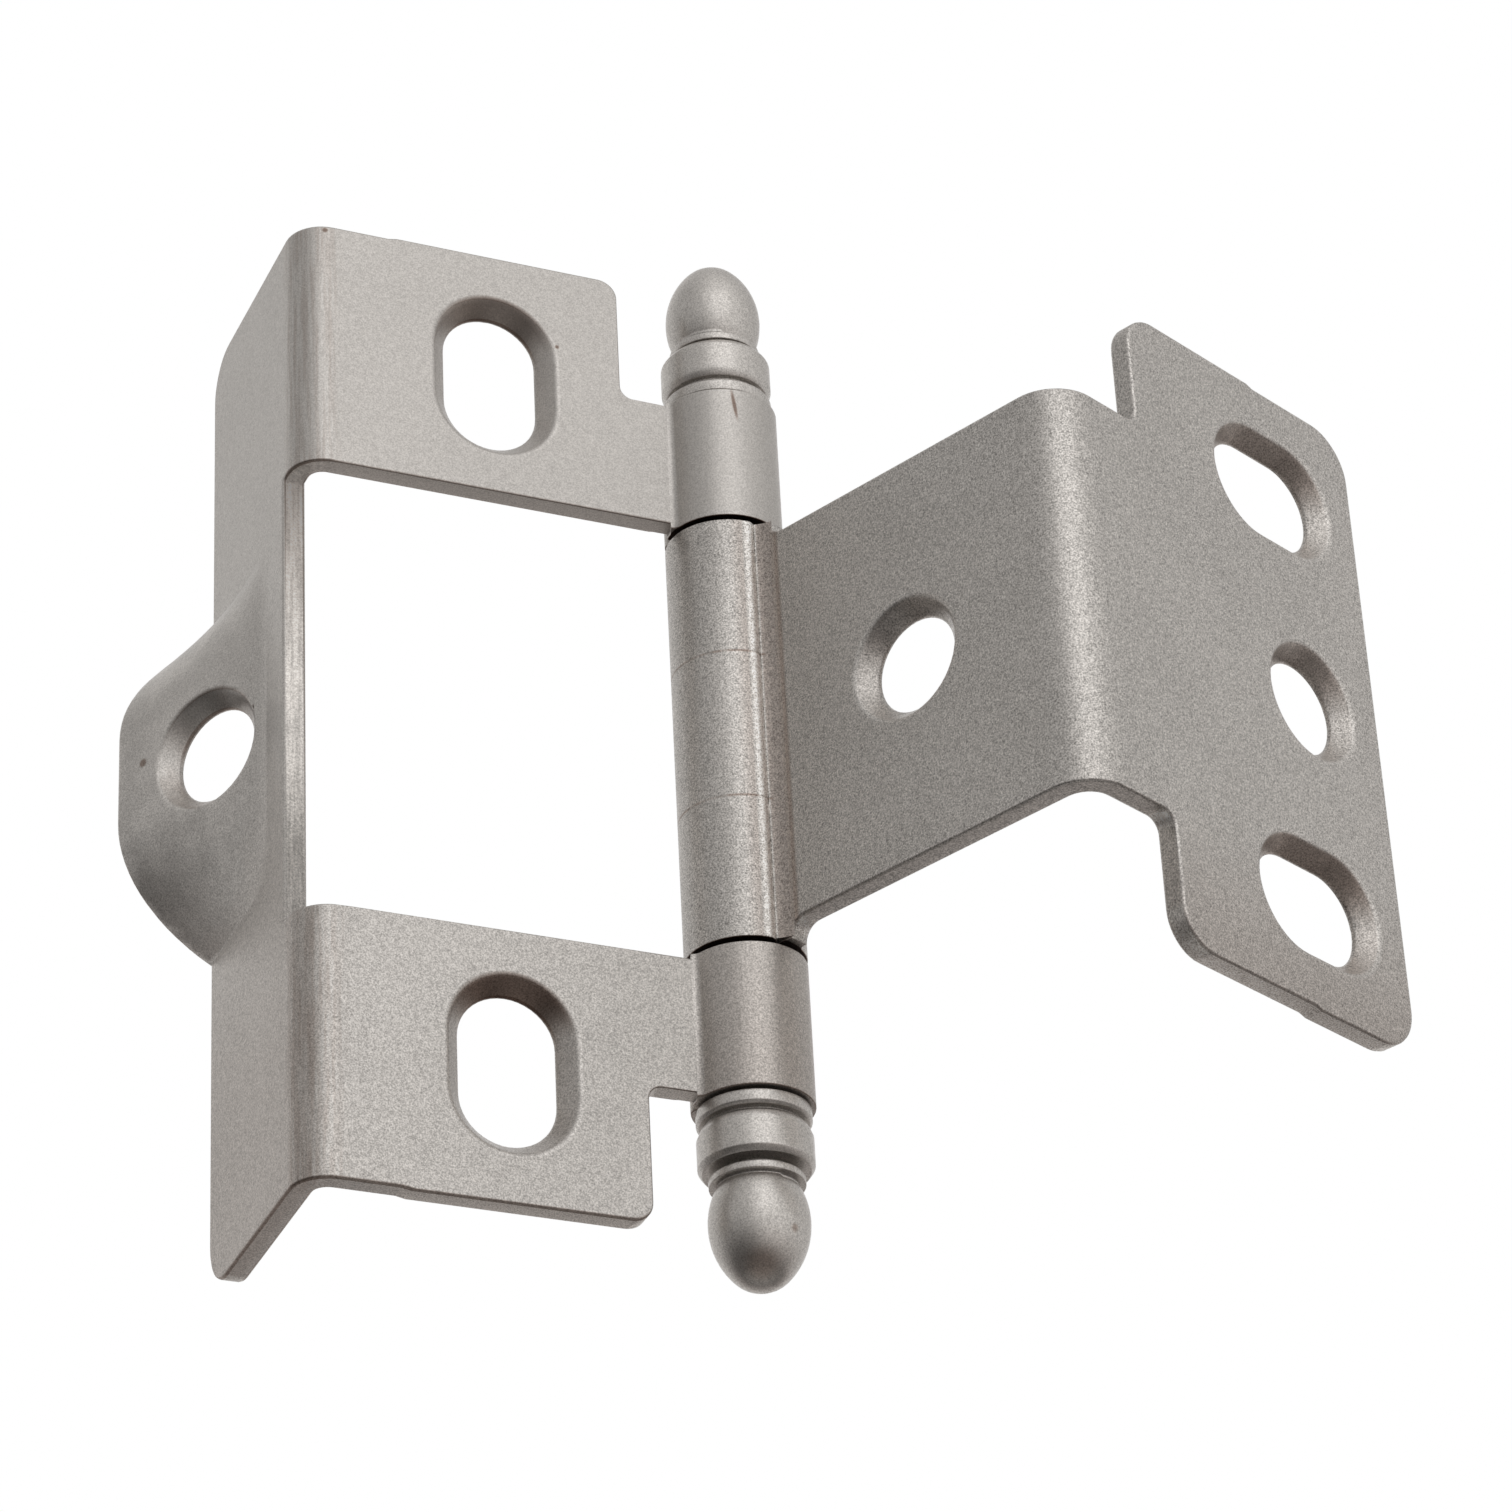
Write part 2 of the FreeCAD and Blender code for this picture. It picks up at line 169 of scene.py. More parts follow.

# Marks on the door leaf: rings round its knuckle, painted highlight and painted shade at the roll's seam,
# and painted shade on the flange's low end
RING_HEIGHTS = (4.40, -4.32)
RING_EDGE = (0.03, 0.10)
RING_SHADE = 0.62
RING_BREAK_SCALE = 0.9
RING_BREAKS = (0.40, 0.52)
RING_FAINTEST = 0.35
DOOR_BARREL_END = (3.0, 3.2)
SCREW_FACE = (0.25, 0.38)
ROLL_MARK_FROM_AXIS = 4.06
ROLL_MARK_EDGE = (0.06, 0.32)
ROLL_MARK_PAINTED_SHADE = 0.68
ROLL_END_MIDDLE = (2.353, 1.045)
ROLL_END_SKIN = (0.65, 0.70)
SEAM_HIGHLIGHT_TILT = ((-0.45, -0.25), (0.60, 0.80))
SEAM_PAINTED_HIGHLIGHT = 1.45
BESIDE_END_TILT = (0.75, 1.0)
BESIDE_END_REACH = (0.6, 1.2)
BESIDE_END_PAINTED_SHADE = 0.82
SEAM_FILL_REACH = ((2.95, 3.05), (3.65, 4.05))
SEAM_FILL_PAINTED_SHADE = 0.73
FLANGE_LOW_START = (22.0, 23.0)
FLANGE_LOW_HEIGHTS = (-20.0, -9.0)
FLANGE_LOW_PAINTED_SHADE = 0.86

# Marks on the lower ball: middle, reach from core to edge, and shade
BALL_SPOT = ((12.5, -1.8, -30.1), (0.3, 1.25), 0.64)
BALL_DENT = ((14.0, -2.7, -28.3), (0.05, 0.32), 0.6)

# Section of the plating at the seam, as millimetres out from the axis and towards the screws' side
SEAM_FILL = (
    (2.945, 0.80), (3.12, 0.66), (3.34, 0.54), (3.62, 0.43), (3.80, 0.36),
    (2.66, 0.36), (2.66, 0.80),
)
SEAM_FILL_HALF_LENGTH = 12.50

# Floor and lamp
FLOOR_HEIGHT = -350 * MM
FLOOR_REACH = 900 * MM
FLOOR_FADE = (60 * MM, 450 * MM)
FLOOR_COLOUR = (0.46, 0.45, 0.44)
FLOOR_ROUGHNESS = 0.9
KEY_PLACE = Vector((-0.05, -0.62, 0.42))
KEY_AIM = Vector((0.015, 0.0, 0.0))
KEY_SIZE = 0.6
KEY_POWER = 0.18
KEY_SPREAD = math.radians(120.0)

# Room: levels of its sides, and the stretches of direction over which they change
LEFT_LEVEL = 0.44
LEFT_BELOW_LEVEL = 0.14
LEFT_RISE = (-0.45, 0.35)
RIGHT_LEVEL = 0.57
LEFT_TO_RIGHT = (-0.7, 0.0)
WINDOW_LEVEL = 0.20
WINDOW_DIRECTION = (0.1, -0.995, 0.0)
WINDOW_SPREAD = (0.2, 1.0)
BACK_LEVEL = 0.16
BACK_SPREAD = (0.35, 0.75)
BELOW_SHARE = 0.12
BELOW_TO_LEVEL = (-0.80, -0.05)
ROOM_WARMTH = (1.0, 0.985, 0.965)
LOW_ROOM_WARMTH = (1.0, 0.90, 0.85)
WARMTH_RISE = (-0.75, 0.05)
BACKDROP_DIRECTION = CAMERA_TURN.to_matrix() @ Vector((0.0, 0.0, -1.0))
BACKDROP_SPREAD = (0.90, 0.972)
WHITE = (1.0, 1.0, 1.0, 1.0)

# Shader nodes: how far apart they stand, and a Mix node's factor, first, second and result sockets
NODE_STEP = 190
MIX_SOCKETS = {"FLOAT": (0, 2, 3, 0), "RGBA": (0, 6, 7, 2)}


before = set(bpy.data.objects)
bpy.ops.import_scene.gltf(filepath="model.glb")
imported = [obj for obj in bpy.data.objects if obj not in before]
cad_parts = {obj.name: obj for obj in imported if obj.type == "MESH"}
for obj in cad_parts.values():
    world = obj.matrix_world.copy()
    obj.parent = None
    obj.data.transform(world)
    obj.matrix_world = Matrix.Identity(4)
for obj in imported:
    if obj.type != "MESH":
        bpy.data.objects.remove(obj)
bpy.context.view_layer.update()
scene = bpy.context.scene


def new_object(name, bm):
    """Turns a finished bmesh into a smooth-shaded object at the origin."""
    mesh = bpy.data.meshes.new(name)
    bm.to_mesh(mesh)
    bm.free()
    piece = bpy.data.objects.new(name, mesh)
    scene.collection.objects.link(piece)
    for face in mesh.polygons:
        face.use_smooth = True
    return piece


def is_sharp(edge):
    """An outside edge that needs rounding. Inside corners are left as pressed."""
    return len(edge.link_faces) == 2 and edge.is_convex and edge.calc_face_angle() > SHARP


def room_beside(edge):
    """The room to round an edge: its narrower face, or a shorter sharp edge that meets it at an angle."""
    start, end = (corner.co for corner in edge.verts)
    along = (end - start).normalized()
    rooms = []
    for face in edge.link_faces:
        reaches = [corner.co - start for corner in face.verts]
        rooms.append(max((reach - along * reach.dot(along)).length for reach in reaches))
    for corner in edge.verts:
        for other in corner.link_edges:
            run = other.verts[1].co - other.verts[0].co
            if other is not edge and is_sharp(other) and abs(run.normalized().dot(along)) < NEARLY_IN_LINE:
                rooms.append(run.length)
    return min(rooms)


def on_knuckle_end(edge):
    """An edge round the end of a knuckle, where two knuckles meet in a thin crisp line."""
    reaches = [math.dist(corner.co[:2], BARREL_PLACE) for corner in edge.verts]
    return max(reaches) < BARREL_RADIUS + PROBE and abs(edge.verts[0].co.z - edge.verts[1].co.z) < PROBE


def even_out(bm, share, edge_round):
    """Evens out the shares of edges that run on round a bend, where a jump would throw a spike."""
    for _ in range(EVENING_ROUNDS):
        for corner in bm.verts:
            met = [edge for edge in corner.link_edges if edge[share]]
            for edge, other in itertools.combinations(met, 2):
                arriving = corner.co - other.other_vert(corner).co
                turn = (edge.other_vert(corner).co - corner.co).angle(arriving)
                if turn > RUNS_ON:
                    continue
                shorter = min(edge.calc_length(), other.calc_length())
                jump = STEEPEST_JUMP * shorter * math.sin(turn) / edge_round
                most = min(edge[share], other[share]) + jump
                edge[share] = min(edge[share], most)
                other[share] = min(other[share], most)


def rounded_copy(node, name, edge_round):
    """A merged copy of a CAD node with its sharp edges rounded.

    Faces with more than a sheet's thickness of metal behind them were sheared, and get the second finish.
    The rounded edges get the third.
    """
    bm = bmesh.new()
    bm.from_mesh(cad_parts[node].data)
    bmesh.ops.remove_doubles(bm, verts=bm.verts, dist=WELD)
    bmesh.ops.dissolve_limit(bm, angle_limit=FLAT_JOIN, verts=bm.verts, edges=bm.edges)
    bmesh.ops.dissolve_degenerate(bm, dist=SHORTEST_EDGE, edges=bm.edges)
    bm.normal_update()
    tree = BVHTree.FromBMesh(bm)
    for face in bm.faces:
        start = face.calc_center_median() - face.normal * PROBE
        depth = tree.ray_cast(start, -face.normal)[3]
        face.material_index = SHEARED_FINISH if depth and depth > SHEARED_DEPTH else 0
    share = bm.edges.layers.float.new("bevel_weight_edge")
    for edge in bm.edges:
        if is_sharp(edge):
            most = KNUCKLE_END_SHARE if on_knuckle_end(edge) else 1.0
            edge[share] = min(most, room_beside(edge) / (ROOM_PER_ROUND * edge_round))
    even_out(bm, share, edge_round)
    piece = new_object(name, bm)
    rounding = piece.modifiers.new("rounded_edges", "BEVEL")
    rounding.limit_method = "WEIGHT"
    rounding.width = edge_round
    rounding.segments = EDGE_STEPS
    rounding.use_clamp_overlap = False
    # The rounded edges' finish gets painted shade and painted light by whether they look down
    rounding.material = ROUNDED_EDGE_FINISH
    weighted = piece.modifiers.new("face_weighted_normals", "WEIGHTED_NORMAL")
    weighted.weight = FACE_WEIGHT
    weighted.keep_sharp = False
    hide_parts(node)
    return piece


class Nodes:
    """Short calls that place and join shader nodes in one tree."""

    def __init__(self, tree):
        self.tree = tree
        self.nodes = tree.nodes
        self.nodes.clear()
        self.column = 0

    def add(self, kind, **settings):
        node = self.nodes.new(kind)
        node.location = (self.column, 0)
        self.column += NODE_STEP
        for setting, value in settings.items():
            setattr(node, setting, value)
        return node

    def join(self, output, node, socket):
        """Links an output to a socket, or sets the socket to a plain value."""
        if isinstance(output, (int, float, tuple)):
            node.inputs[socket].default_value = output
        else:
            self.tree.links.new(output, node.inputs[socket])

    def math(self, operation, first, second=0.0, clamp=False):
        node = self.add("ShaderNodeMath", operation=operation, use_clamp=clamp)
        self.join(first, node, 0)
        self.join(second, node, 1)
        return node.outputs[0]

    def product(self, *factors):
        result = factors[0]
        for factor in factors[1:]:
            result = self.math("MULTIPLY", result, factor)
        return result

    def length(self, first, second):
        return self.math("SQRT", self.math("ADD", self.product(first, first), self.product(second, second)))

    def ease(self, value, low, high, to_low=0.0, to_high=1.0):
        """Smooth steps from to_low at low to to_high at high."""
        node = self.add("ShaderNodeMapRange", interpolation_type="SMOOTHSTEP")
        for socket, put in enumerate((value, low, high, to_low, to_high)):
            self.join(put, node, socket)
        return node.outputs[0]

    def band(self, value, rise, fall):
        """A mask that rises to one over the first stretch and falls to zero over the second."""
        return self.product(self.ease(value, *rise), self.ease(value, *fall, 1.0, 0.0))

    def line(self, value, middle, edge):
        """A mask that is one at the middle and falls to zero over the stretch of its edge."""
        return self.ease(self.math("ABSOLUTE", self.math("SUBTRACT", value, middle)), *edge, 1.0, 0.0)

    def mix(self, kind, factor, first, second):
        """Goes from the first value to the second as the factor goes from zero to one."""
        node = self.add("ShaderNodeMix", data_type=kind)
        *entries, result = MIX_SOCKETS[kind]
        for put, socket in zip((factor, first, second), entries):
            self.join(put, node, socket)
        return node.outputs[result]

    def where(self, mask, shade):
        """The shade where a mask is one, and the plain finish's 1 where it is zero."""
        return self.mix("FLOAT", mask, 1.0, shade)

    def noise(self, place, scale, detail, roughness=0.5):
        node = self.add("ShaderNodeTexNoise")
        self.join(place, node, "Vector")
        self.join(scale, node, "Scale")
        self.join(detail, node, "Detail")
        self.join(roughness, node, "Roughness")
        return node.outputs["Fac"]

    def vector(self, operation, first, second):
        node = self.add("ShaderNodeVectorMath", operation=operation)
        self.join(first, node, 0)
        self.join(tuple(second), node, 1)
        return node.outputs

    def along(self, place, way, start=0.0):
        """How far a place lies along a way, from a start."""
        return self.math("SUBTRACT", self.vector("DOT_PRODUCT", place, way)["Value"], start)

    def far(self, place, middle):
        """The distance of a place from a middle."""
        return self.vector("DISTANCE", place, middle)["Value"]

    def streaks(self, place, stretch, shades):
        """Shades that change in long streaks."""
        stretched = self.vector("MULTIPLY", place, stretch)["Vector"]
        return self.ease(self.noise(stretched, 1.0, STREAK_DETAIL), *STREAK_ENDS, *shades)

    def millimetres(self):
        """The place on the part in millimetres, whole and as its three parts."""
        scaled = self.add("ShaderNodeVectorMath", operation="SCALE")
        self.join(self.add("ShaderNodeTexCoord").outputs["Object"], scaled, 0)
        self.join(1 / MM, scaled, "Scale")
        parts = self.add("ShaderNodeSeparateXYZ")
        self.join(scaled.outputs[0], parts, 0)
        return scaled.outputs[0], *parts.outputs


def group(name, inputs, outputs):
    """A shader node group with its input and output nodes.

    An input whose value is a tuple and the output Colour are colours, and the rest are numbers.
    """
    tree = bpy.data.node_groups.new(name, "ShaderNodeTree")
    for socket, value in inputs.items():
        kind = "NodeSocketColor" if isinstance(value, tuple) else "NodeSocketFloat"
        entry = tree.interface.new_socket(socket, in_out="INPUT", socket_type=kind)
        entry.default_value = value
    for socket in outputs:
        kind = "NodeSocketColor" if socket == "Colour" else "NodeSocketFloat"
        tree.interface.new_socket(socket, in_out="OUTPUT", socket_type=kind)
    made = Nodes(tree)
    return made, made.add("NodeGroupInput"), made.add("NodeGroupOutput")


def sandy_grain():
    """The fine sandy grain of blasted and plated sheet: a tone round one half, and a height."""
    made, asked, given = group("sandy_grain", {"Grain Size": GRAIN_SIZE}, ("Tone", "Height"))
    place = made.add("ShaderNodeTexCoord").outputs["Object"]
    scaled = made.add("ShaderNodeVectorMath", operation="SCALE")
    made.join(place, scaled, 0)
    made.join(made.math("DIVIDE", 1.0, asked.outputs["Grain Size"]), scaled, "Scale")
    fine = made.noise(scaled.outputs[0], 1.0, FINE_DETAIL, FINE_ROUGHNESS)
    coarse = made.noise(scaled.outputs[0], COARSE_SCALE, 1.0)
    cloud = made.noise(place, CLOUD_SCALE, CLOUD_DETAIL)
    both = made.math("ADD", made.product(fine, FINE_SHARE), made.product(coarse, COARSE_SHARE))
    made.join(made.math("ADD", both, made.product(cloud, CLOUD_SHARE)), given, "Tone")
    made.join(fine, given, "Height")
    return made.tree


def painted_shade_by_facing():
    """Painted shade and painted light that go from one value on faces that look down to another on the
    rest, for how light falls on them.
    """
    made, asked, given = group("painted_shade_by_facing", {"Looks Down": 1.0, "Elsewhere": 1.0}, ("Shade",))
    facing = made.add("ShaderNodeSeparateXYZ")
    made.join(made.add("ShaderNodeTexCoord").outputs["Normal"], facing, 0)
    ends = asked.outputs["Looks Down"], asked.outputs["Elsewhere"]
    # Painted shade and painted light, set by how far the face looks down
    made.join(made.ease(facing.outputs["Z"], *LOOKS_DOWN, *ends), given, "Shade")
    return made.tree


def finish_colour():
    """The colour of the plating from its metal, its shade, real and painted, and its grain. Dark places are
    warmer.
    """
    inputs = {"Metal": (*NICKEL, 1.0), "Shade": 1.0, "Grain": 1.0}
    made, asked, given = group("finish_colour", inputs, ("Colour",))
    metal = made.add("ShaderNodeSeparateColor")
    made.join(asked.outputs["Metal"], metal, 0)
    shade = asked.outputs["Shade"]
    darkness = made.math("MINIMUM", shade, 1.0)
    warmed = made.add("ShaderNodeCombineColor")
    for channel, power in enumerate(WARMTH_OF_DARK):
        tint = made.math("POWER", darkness, power)
        shown = made.product(metal.outputs[channel], shade, tint, asked.outputs["Grain"])
        made.join(shown, warmed, channel)
    made.join(warmed.outputs[0], given, "Colour")
    return made.tree


def cone_painted_shade(made, distance, rise, top_shade, low_shade=CONE_LOW_SHADE):
    """Painted shade inside a countersink, darker towards its top."""
    inside = made.ease(distance, *CONE_RIM, 1.0, 0.0)
    # Painted shade, darker towards the countersink's top
    return made.where(inside, made.ease(rise, *CONE_TOP, low_shade, top_shade))


def slot_distance(made, across, along, straight):
    """The distance from a slot's middle line, whose straight part has the given length."""
    past_straight = made.math("SUBTRACT", made.math("ABSOLUTE", along), straight / 2)
    return made.length(across, made.math("MAXIMUM", past_straight, 0.0))


def gap_painted_shade(made, x, y, height):
    """Painted shade in the thin gaps between the knuckles."""
    in_gap = made.band(made.math("ABSOLUTE", height), *KNUCKLE_GAP)
    from_axis = [made.math("SUBTRACT", part, middle / MM) for part, middle in zip((x, y), BARREL_PLACE)]
    on_barrel = made.ease(made.length(*from_axis), *BARREL_SKIN, 1.0, 0.0)
    # Painted shade in the gaps
    return made.where(made.product(in_gap, on_barrel), GAP_PAINTED_SHADE)


def frame_countersink_painted_shade(made, place, x, z):
    """Painted shade inside the frame leaf's two slots and its ear's hole."""
    shades = []
    for height, top_shade in zip((FRAME_SLOT_HEIGHT, -FRAME_SLOT_HEIGHT), FRAME_SLOT_SHADES):
        rise = made.math("SUBTRACT", z, height)
        above = made.math("SUBTRACT", rise, FRAME_SLOT_STRAIGHT / 2)
        shades.append(cone_painted_shade(made, slot_distance(made, x, rise, FRAME_SLOT_STRAIGHT), above, top_shade))
    across = made.along(place, EAR_ACROSS, Vector(EAR_HOLE).dot(EAR_ACROSS))
    rise = made.math("SUBTRACT", z, EAR_HOLE[2])
    shades.append(cone_painted_shade(made, made.length(across, rise), rise, *EAR_HOLE_SHADES))
    return made.product(*shades)


def frame_scratch(made, place):
    """One slim dark scratch on the upper knuckle."""
    start, end = (Vector(point) for point in SCRATCH)
    middle = (start + end) / 2
    way = (end - start).normalized()
    along = made.along(place, way, middle.dot(way))
    away = made.far(place, middle)
    beside_squared = made.math("SUBTRACT", made.product(away, away), made.product(along, along), clamp=True)
    from_scratch = made.length(made.product(along, SCRATCH_SLIMNESS), made.math("SQRT", beside_squared))
    return made.ease(from_scratch, *SCRATCH_EDGE, SCRATCH_SHADE, 1.0)


def frame_specks(made, place):
    """Small dark specks in the frame leaf's plating."""
    shades = []
    for *speck, size in FRAME_SPECKS:
        shades.append(made.ease(made.far(place, speck), size * SPECK_CORE, size, SPECK_SHADE, 1.0))
    return made.product(*shades)


def frame_leaf_marks_and_painted_light():
    """Real scratches, specks and streaks with painted light and shade on the frame leaf's finish, and how
    strongly the grain speckles it.
    """
    made, _, given = group("frame_leaf_marks_and_painted_light", {}, ("Shade", "Speckle"))
    place, x, y, z = made.millimetres()
    on_bend = made.product(made.ease(x, *BEND_ON_PLATE, 1.0, 0.0), made.ease(y, *BEND_ON_FLANGE, 1.0, 0.0))
    on_ear = made.ease(x, *EAR_SIDE, 1.0, 0.0)
    # Painted light: the ear lighter in mottled patches
    ear_painted_light = made.ease(made.noise(place, EAR_LIGHT_SCALE, EAR_LIGHT_DETAIL), *EAR_LIGHT_ENDS, *EAR_LIGHT_SHADES)
    off_plate = made.ease(made.math("ABSOLUTE", made.math("SUBTRACT", x, PLATE_MIDDLE)), *PLATE_HALF_LENGTH)
    shade = made.product(
        gap_painted_shade(made, x, y, z),
        frame_countersink_painted_shade(made, place, x, z),
        frame_scratch(made, place),
        frame_specks(made, place),
        made.where(on_bend, made.streaks(place, BEND_STRETCH, BEND_SHADES)),
        made.where(on_ear, ear_painted_light),
        # Painted shade, darker towards the bottom, off the plate
        made.where(off_plate, made.ease(z, *LOW_END_HEIGHTS, LOW_END_PAINTED_SHADE, 1.0)),
    )
    made.join(shade, given, "Shade")
    made.join(made.ease(z, *FRAME_SPECKLE_HEIGHTS, *FRAME_SPECKLES), given, "Speckle")
    return made.tree


def window_cut_streaks(made):
    """The brighter, streaked cut of the frame leaf's window, in its flange."""
    place, x, y, z = made.millimetres()
    below_top = made.ease(made.math("ABSOLUTE", z), *WINDOW_CUT_TOP, 1.0, 0.0)
    in_flange = made.ease(y, *WINDOW_CUT_DEPTH, 1.0, 0.0)
    on_cut = made.product(made.band(x, *WINDOW_CUT_ACROSS), in_flange, below_top)
    return made.where(on_cut, made.streaks(place, WINDOW_CUT_STRETCH, WINDOW_CUT_SHADES))


def door_countersink_painted_shade(made, out, screw_side, z):
    """Painted shade inside the door leaf's four screw holes."""
    plate_hole = made.length(made.math("SUBTRACT", out, DOOR_HOLE_FROM_AXIS), z)
    shades = [cone_painted_shade(made, plate_hole, z, DOOR_HOLE_SHADE)]
    off_flange = made.ease(out, *DOOR_FLANGE_START, OUT_OF_REACH, 0.0)
    along = made.math("SUBTRACT", screw_side, DOOR_SLOT_MIDDLE)
    for height, top_shade in zip((DOOR_SLOT_HEIGHT, -DOOR_SLOT_HEIGHT), DOOR_SLOT_SHADES):
        rise = made.math("SUBTRACT", z, height)
        distance = made.math("ADD", slot_distance(made, rise, along, DOOR_SLOT_STRAIGHT), off_flange)
        shades.append(cone_painted_shade(made, distance, rise, top_shade))
    round_hole = made.length(made.math("SUBTRACT", screw_side, DOOR_ROUND_MIDDLE), z)
    shades.append(cone_painted_shade(made, made.math("ADD", round_hole, off_flange), z, DOOR_ROUND_SHADE))
    return made.product(*shades)


def door_rings(made, place, out, z):
    """Two faint broken rings round the middle knuckle."""
    on_barrel = made.ease(out, *DOOR_BARREL_END, 1.0, 0.0)
    broken = made.ease(made.noise(place, RING_BREAK_SCALE, 1.0), *RING_BREAKS, RING_FAINTEST, 1.0)
    shades = []
    for height in RING_HEIGHTS:
        ring = made.line(z, height, RING_EDGE)
        shades.append(made.where(made.product(ring, on_barrel, broken), RING_SHADE))
    return made.product(*shades)


def door_seam_painted_light(made, out, screw_side):
    """Painted highlight on the roll's free end, darker painted shade on the strip and plating beside it,
    and painted shade along the roller's mark.
    """
    on_screw_face = made.ease(screw_side, *SCREW_FACE)
    across = made.math("SUBTRACT", out, ROLL_END_MIDDLE[0])
    above = made.math("SUBTRACT", screw_side, ROLL_END_MIDDLE[1])
    tilt = made.math("ARCTAN2", above, across)
    reach = made.length(across, above)
    # Painted highlight along the roll's free end
    painted_highlight = made.product(made.band(tilt, *SEAM_HIGHLIGHT_TILT), made.ease(reach, *ROLL_END_SKIN, 1.0, 0.0))
    # Painted shade beside the roll's free end, on the strip over the plating, and along the roller's mark
    close_by = made.ease(reach, *BESIDE_END_REACH, 1.0, 0.0)
    beside_end = made.product(made.ease(tilt, *BESIDE_END_TILT), close_by)
    on_plating = made.product(made.band(out, *SEAM_FILL_REACH), on_screw_face)
    roll_mark = made.product(made.line(out, ROLL_MARK_FROM_AXIS, ROLL_MARK_EDGE), on_screw_face)
    return made.product(
        made.where(painted_highlight, SEAM_PAINTED_HIGHLIGHT),
        made.where(beside_end, BESIDE_END_PAINTED_SHADE),
        made.where(on_plating, SEAM_FILL_PAINTED_SHADE),
        made.where(roll_mark, ROLL_MARK_PAINTED_SHADE),
    )


def door_leaf_marks_and_painted_light():
    """Real rings with painted light and shade on the door leaf's finish.

    Its places are measured out from the barrel's axis along the plate, and towards the screws' side of it.
    """
    made, _, given = group("door_leaf_marks_and_painted_light", {}, ("Shade",))
    place, x, y, z = made.millimetres()
    axis = Vector((*BARREL_PLACE, 0.0)) / MM
    out = made.along(place, DOOR_WAY, axis.dot(DOOR_WAY))
    screw_side = made.along(place, DOOR_SCREW_WAY, axis.dot(DOOR_SCREW_WAY))
    # Painted shade, darker towards the bottom of the flange
    low = made.ease(z, *FLANGE_LOW_HEIGHTS, 1.0, 0.0)
    low_on_flange = made.product(made.ease(out, *FLANGE_LOW_START), low)
    shade = made.product(
        gap_painted_shade(made, x, y, z),
        door_countersink_painted_shade(made, out, screw_side, z),
        door_rings(made, place, out, z),
        door_seam_painted_light(made, out, screw_side),
        made.where(low_on_flange, FLANGE_LOW_PAINTED_SHADE),
    )
    made.join(shade, given, "Shade")
    return made.tree


def finial_marks():
    """A dark spot and a dent on the lower ball."""
    made, _, given = group("finial_marks", {}, ("Shade",))
    place = made.millimetres()[0]
    shades = []
    for middle, reach, shade in (BALL_SPOT, BALL_DENT):
        shades.append(made.ease(made.far(place, middle), *reach, shade, 1.0))
    made.join(made.product(*shades), given, "Shade")
    return made.tree


GRAIN = sandy_grain()
PAINTED_SHADE_BY_FACING = painted_shade_by_facing()
FINISH_COLOUR = finish_colour()
FRAME_MARKS_AND_PAINTED_LIGHT = frame_leaf_marks_and_painted_light()
DOOR_MARKS_AND_PAINTED_LIGHT = door_leaf_marks_and_painted_light()
FINIAL_MARKS = finial_marks()


def nickel(name, colour, roughness, marks_and_painted_light, speckle=None, facing_painted_shades=None, streaked=False):
    """Satin metal whose colour, roughness and height all follow the sandy grain.

    Where no speckle is given, the group's Speckle output says how strong it is.
    """
    material = bpy.data.materials.new(name)
    material.use_nodes = True
    made = Nodes(material.node_tree)
    grain = made.add("ShaderNodeGroup", node_tree=GRAIN)
    made.join(GRAIN_SIZE, grain, "Grain Size")
    marks_and_light_node = made.add("ShaderNodeGroup", node_tree=marks_and_painted_light)
    shade = marks_and_light_node.outputs["Shade"]
    if streaked:
        shade = made.product(shade, window_cut_streaks(made))
    # Painted shade and painted light on edges, by whether they look down
    if facing_painted_shades:
        facing_shade = made.add("ShaderNodeGroup", node_tree=PAINTED_SHADE_BY_FACING)
        made.join(facing_painted_shades[0], facing_shade, "Looks Down")
        made.join(facing_painted_shades[1], facing_shade, "Elsewhere")
        shade = made.product(shade, facing_shade.outputs["Shade"])
    if speckle is None:
        speckle = marks_and_light_node.outputs["Speckle"]
    spread = made.ease(grain.outputs["Tone"], *TONE_ENDS, -1.0, 1.0)
    finish = made.add("ShaderNodeGroup", node_tree=FINISH_COLOUR)
    made.join((*colour, 1.0), finish, "Metal")
    made.join(shade, finish, "Shade")
    made.join(made.math("ADD", 1.0, made.product(spread, speckle)), finish, "Grain")
    roughest, smoothest = roughness + ROUGHNESS_SWING, roughness - ROUGHNESS_SWING
    rough = made.ease(grain.outputs["Tone"], *ROUGHNESS_TONES, roughest, smoothest)
    bump = made.add("ShaderNodeBump")
    made.join(grain.outputs["Height"], bump, "Height")
    made.join(GRAIN_DEPTH, bump, "Distance")
    made.join(1.0, bump, "Strength")
    shader = made.add("ShaderNodeBsdfPrincipled")
    made.join(1.0, shader, "Metallic")
    made.join(finish.outputs["Colour"], shader, "Base Color")
    made.join(rough, shader, "Roughness")
    made.join(bump.outputs["Normal"], shader, "Normal")
    made.join(shader.outputs[0], made.add("ShaderNodeOutputMaterial"), "Surface")
    return material


